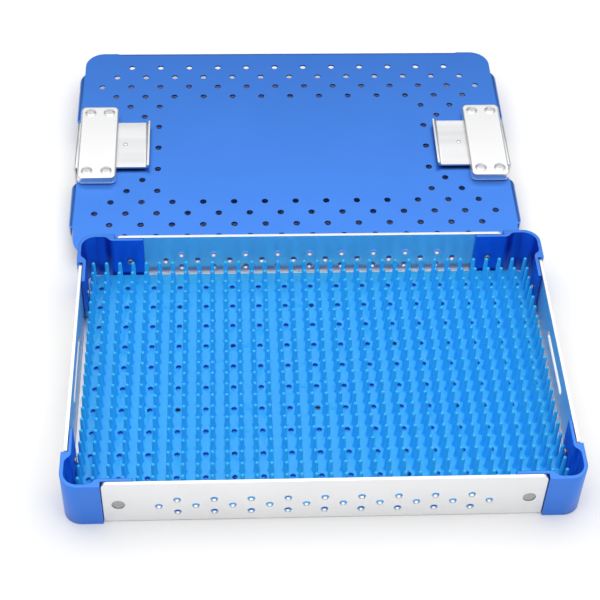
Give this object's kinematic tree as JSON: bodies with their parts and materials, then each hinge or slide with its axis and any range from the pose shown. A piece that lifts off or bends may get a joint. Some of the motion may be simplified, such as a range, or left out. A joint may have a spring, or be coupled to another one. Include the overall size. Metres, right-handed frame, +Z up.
{
  "type": "sterilization box",
  "caption": "Shallow perforated instrument tray with rounded corner posts and a silicone finger mat, and its perforated lid with sliding latches lying behind it.",
  "frame": {"origin": "on the table, under the middle of the whole set of tray and lid", "axes": "+X to the right along the tray's long side, +Y from the tray to the lid behind it, +Z up"},
  "size_m": [0.2952, 0.386, 0.034],
  "materials": {
    "blue_anodized": "satin blue anodized sheet and extrusion",
    "silver_anodized": "matt silver anodized sheet",
    "silver_brushed": "brushed bent sheet",
    "rivet_metal": "dull grey",
    "rivet_silver": "bright turned",
    "silicone": "satin moulded silicone",
    "spring_steel": "drawn wire"
  },
  "bodies": {
    "tray": {"corner_post_front_left": "blue_anodized", "corner_post_front_right": "blue_anodized", "corner_post_rear_left": "blue_anodized", "corner_post_rear_right": "blue_anodized", "front_rail": "silver_anodized", "rear_rail": "silver_anodized", "left_rail": "silver_anodized", "right_rail": "silver_anodized", "bottom_plate": "blue_anodized", "wall_rivet_front_left": "rivet_metal", "wall_rivet_front_right": "rivet_metal", "wall_rivet_rear_left": "rivet_metal", "wall_rivet_rear_right": "rivet_metal", "wall_rivet_left_front": "rivet_metal", "wall_rivet_left_rear": "rivet_metal", "wall_rivet_right_front": "rivet_metal", "wall_rivet_right_rear": "rivet_metal", "bottom_rivet_front_left": "rivet_metal", "bottom_rivet_left_front": "rivet_metal", "bottom_rivet_front_right": "rivet_metal", "bottom_rivet_right_front": "rivet_metal", "bottom_rivet_rear_left": "rivet_metal", "bottom_rivet_left_rear": "rivet_metal", "bottom_rivet_rear_right": "rivet_metal", "bottom_rivet_right_rear": "rivet_metal"},
    "mat": {"silicone_mat": "silicone"},
    "lid": {"lid_plate": "blue_anodized", "left_latch_guide": "silver_anodized", "left_latch_cover": "silver_anodized", "left_latch_rivet_front_inner": "rivet_silver", "left_latch_rivet_front_outer": "rivet_silver", "left_latch_rivet_rear_inner": "rivet_silver", "left_latch_rivet_rear_outer": "rivet_silver", "left_latch_spring_front": "spring_steel", "left_latch_spring_rear": "spring_steel", "right_latch_guide": "silver_anodized", "right_latch_cover": "silver_anodized", "right_latch_rivet_front_inner": "rivet_silver", "right_latch_rivet_front_outer": "rivet_silver", "right_latch_rivet_rear_inner": "rivet_silver", "right_latch_rivet_rear_outer": "rivet_silver", "right_latch_spring_front": "spring_steel", "right_latch_spring_rear": "spring_steel"},
    "left_slider": {"left_latch_slider": "silver_brushed"},
    "right_slider": {"right_latch_slider": "silver_brushed"}
  },
  "joints": [
    {"name": "lid_lift", "type": "slide", "parent": "tray", "child": "lid", "axis": [0, 0, 1], "range_m": [0, 0.1]},
    {"name": "mat_lift", "type": "slide", "parent": "tray", "child": "mat", "axis": [0, 0, 1], "range_m": [0, 0.06]},
    {"name": "left_latch_slide", "type": "slide", "parent": "lid", "child": "left_slider", "axis": [-1, 0, 0], "range_m": [0, 0.0035], "stiffness_N_per_m": 400, "springref_m": -0.002, "deforming": ["left_latch_spring_front", "left_latch_spring_rear"]},
    {"name": "right_latch_slide", "type": "slide", "parent": "lid", "child": "right_slider", "axis": [1, 0, 0], "range_m": [0, 0.0035], "stiffness_N_per_m": 400, "springref_m": -0.002, "deforming": ["right_latch_spring_front", "right_latch_spring_rear"]}
  ]
}
